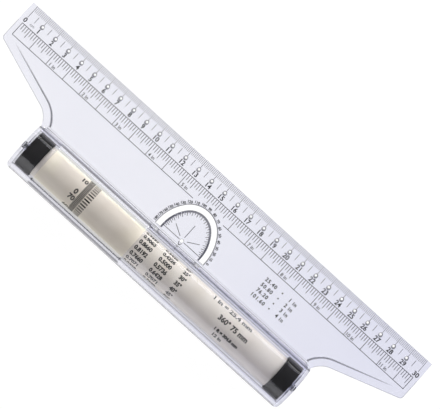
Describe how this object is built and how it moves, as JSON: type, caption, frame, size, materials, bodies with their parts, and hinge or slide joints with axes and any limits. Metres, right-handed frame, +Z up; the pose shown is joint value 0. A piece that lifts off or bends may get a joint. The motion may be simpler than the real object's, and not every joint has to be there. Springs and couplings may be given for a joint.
{
  "type": "rolling ruler",
  "caption": "Clear 30 cm rolling ruler: bevelled scale with pencil holes and protractor slot, and a free-turning roller on rubber tyres in an arched housing.",
  "frame": {"origin": "middle of the ruler's length and depth, on the paper under the tyres", "axes": "+X along the scale in the direction of rising numbers, +Y across the ruler towards the scale edge, +Z up from the paper"},
  "size_m": [0.3064, 0.0786, 0.0274],
  "materials": {
    "clear_plastic": "polished clear moulding with grey printed scales",
    "cream_plastic": "satin cream plastic with printed tables",
    "black_plastic": "plain black moulding",
    "black_rubber": "smooth black rubber",
    "pin_steel": "plain drawn steel, dulled"
  },
  "bodies": {
    "ruler": {"ruler_body": "clear_plastic", "left_pin": "pin_steel", "right_pin": "pin_steel"},
    "roller": {"roller_drum": "cream_plastic", "left_hub": "black_plastic", "right_hub": "black_plastic", "left_tyre": "black_rubber", "right_tyre": "black_rubber"}
  },
  "joints": [
    {"name": "roller_spin", "type": "hinge", "parent": "ruler", "child": "roller", "pos_m": [0, -0.02388, 0.01194], "axis": [1, 0, 0], "continuous": true}
  ]
}
